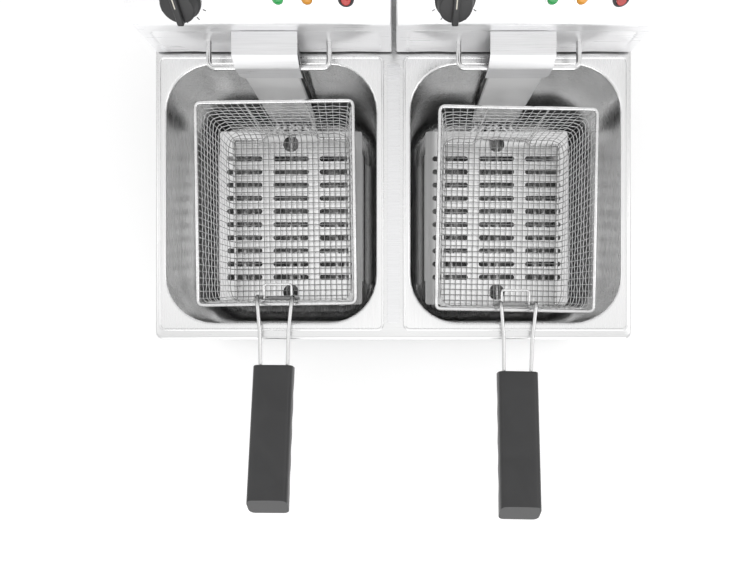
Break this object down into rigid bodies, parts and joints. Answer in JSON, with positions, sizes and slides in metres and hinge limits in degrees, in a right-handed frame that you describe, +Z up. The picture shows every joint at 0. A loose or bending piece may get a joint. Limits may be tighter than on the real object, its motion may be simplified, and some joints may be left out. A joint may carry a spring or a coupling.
{
  "type": "deep fryer",
  "caption": "Countertop electric deep fryer with two oil tanks side by side, wire baskets with folding handles, grates, and lift-off control heads carrying the heating elements.",
  "frame": {"origin": "on the counter, below the middle of the whole object's bounding box", "axes": "+X to the operator's right, +Y from the front towards the control heads, +Z up"},
  "size_m": [0.562, 0.654, 0.35],
  "materials": {
    "steel": "satin brushed stainless sheet",
    "bright_wire": "polished plated wire and tube",
    "dark_plastic": "fine-grained moulded plastic",
    "foot_rubber": "matt moulded rubber",
    "galvanised": "plain zinc-grey sheet",
    "plated_tube": "dull nickel-plated tube",
    "pale_plastic": "moulded insulating plastic",
    "red_plastic": "glossy moulded plastic",
    "green_lens": "glossy tinted lens",
    "amber_lens": "glossy tinted lens"
  },
  "bodies": {
    "base": {"housing": "steel", "base_plate": "galvanised", "centre_strip": "steel", "foot_front_left": "foot_rubber", "foot_front_right": "foot_rubber", "foot_rear_left": "foot_rubber", "foot_rear_right": "foot_rubber"},
    "left_tank_body": {"left_tank": "steel"},
    "left_head": {"left_head_casing": "steel", "left_head_back": "steel", "left_head_base": "galvanised", "left_neck_cover": "steel", "left_neck_plate": "steel", "left_basket_rest": "bright_wire", "left_heating_element": "bright_wire", "left_thermostat_bulb": "plated_tube", "left_cable_gland": "dark_plastic", "left_power_lamp": "green_lens", "left_heating_lamp": "amber_lens", "left_thermostat_body": "galvanised", "left_safety_cutout": "pale_plastic", "left_contactor": "dark_plastic", "left_terminal_block": "pale_plastic"},
    "left_knob": {"left_thermostat_knob": "dark_plastic"},
    "left_reset": {"left_reset_button": "red_plastic"},
    "left_grate_body": {"left_grate": "steel"},
    "left_basket": {"left_basket_mesh": "bright_wire", "left_basket_rim": "bright_wire", "left_basket_frame": "bright_wire", "left_handle_bracket": "bright_wire"},
    "left_handle": {"left_handle_wire": "bright_wire", "left_handle_grip": "dark_plastic"},
    "right_tank_body": {"right_tank": "steel"},
    "right_head": {"right_head_casing": "steel", "right_head_back": "steel", "right_head_base": "galvanised", "right_neck_cover": "steel", "right_neck_plate": "steel", "right_basket_rest": "bright_wire", "right_heating_element": "bright_wire", "right_thermostat_bulb": "plated_tube", "right_cable_gland": "dark_plastic", "right_power_lamp": "green_lens", "right_heating_lamp": "amber_lens", "right_thermostat_body": "galvanised", "right_safety_cutout": "pale_plastic", "right_contactor": "dark_plastic", "right_terminal_block": "pale_plastic"},
    "right_knob": {"right_thermostat_knob": "dark_plastic"},
    "right_reset": {"right_reset_button": "red_plastic"},
    "right_grate_body": {"right_grate": "steel"},
    "right_basket": {"right_basket_mesh": "bright_wire", "right_basket_rim": "bright_wire", "right_basket_frame": "bright_wire", "right_handle_bracket": "bright_wire"},
    "right_handle": {"right_handle_wire": "bright_wire", "right_handle_grip": "dark_plastic"}
  },
  "joints": [
    {"name": "left_tank_lift", "type": "slide", "parent": "base", "child": "left_tank_body", "axis": [0, 0, 1], "range_m": [0, 0.26]},
    {"name": "left_head_lift", "type": "slide", "parent": "left_tank_body", "child": "left_head", "axis": [0, 0, 1], "range_m": [0, 0.2]},
    {"name": "left_grate_lift", "type": "slide", "parent": "left_head", "child": "left_grate_body", "axis": [0, 0, 1], "range_m": [0, 0.2]},
    {"name": "left_basket_lift", "type": "slide", "parent": "left_grate_body", "child": "left_basket", "axis": [0, 0, 1], "range_m": [0, 0.2]},
    {"name": "left_handle_fold", "type": "hinge", "parent": "left_basket", "child": "left_handle", "pos_m": [-0.13881, -0.08127, 0.19], "axis": [-1, 0.007, 0], "range_deg": [0, 100]},
    {"name": "left_knob_turn", "type": "hinge", "parent": "left_head", "child": "left_knob", "pos_m": [-0.2184, 0.2198, 0.3245], "axis": [0, 0.8693, -0.4943], "range_deg": [0, 270]},
    {"name": "left_reset_press", "type": "slide", "parent": "left_head", "child": "left_reset", "axis": [0, 0.8693, -0.4943], "range_m": [0, 0.0025], "stiffness_N_per_m": 150, "springref_m": -0.0005},
    {"name": "right_tank_lift", "type": "slide", "parent": "base", "child": "right_tank_body", "axis": [0, 0, 1], "range_m": [0, 0.26]},
    {"name": "right_head_lift", "type": "slide", "parent": "right_tank_body", "child": "right_head", "axis": [0, 0, 1], "range_m": [0, 0.2]},
    {"name": "right_grate_lift", "type": "slide", "parent": "right_head", "child": "right_grate_body", "axis": [0, 0, 1], "range_m": [0, 0.2]},
    {"name": "right_basket_lift", "type": "slide", "parent": "right_grate_body", "child": "right_basket", "axis": [0, 0, 1], "range_m": [0, 0.2]},
    {"name": "right_handle_fold", "type": "hinge", "parent": "right_basket", "child": "right_handle", "pos_m": [0.14622, -0.08853, 0.19], "axis": [-0.9998, 0.0192, 0], "range_deg": [0, 100]},
    {"name": "right_knob_turn", "type": "hinge", "parent": "right_head", "child": "right_knob", "pos_m": [0.0636, 0.2198, 0.3245], "axis": [0, 0.8693, -0.4943], "range_deg": [0, 270]},
    {"name": "right_reset_press", "type": "slide", "parent": "right_head", "child": "right_reset", "axis": [0, 0.8693, -0.4943], "range_m": [0, 0.0025], "stiffness_N_per_m": 150, "springref_m": -0.0005}
  ]
}
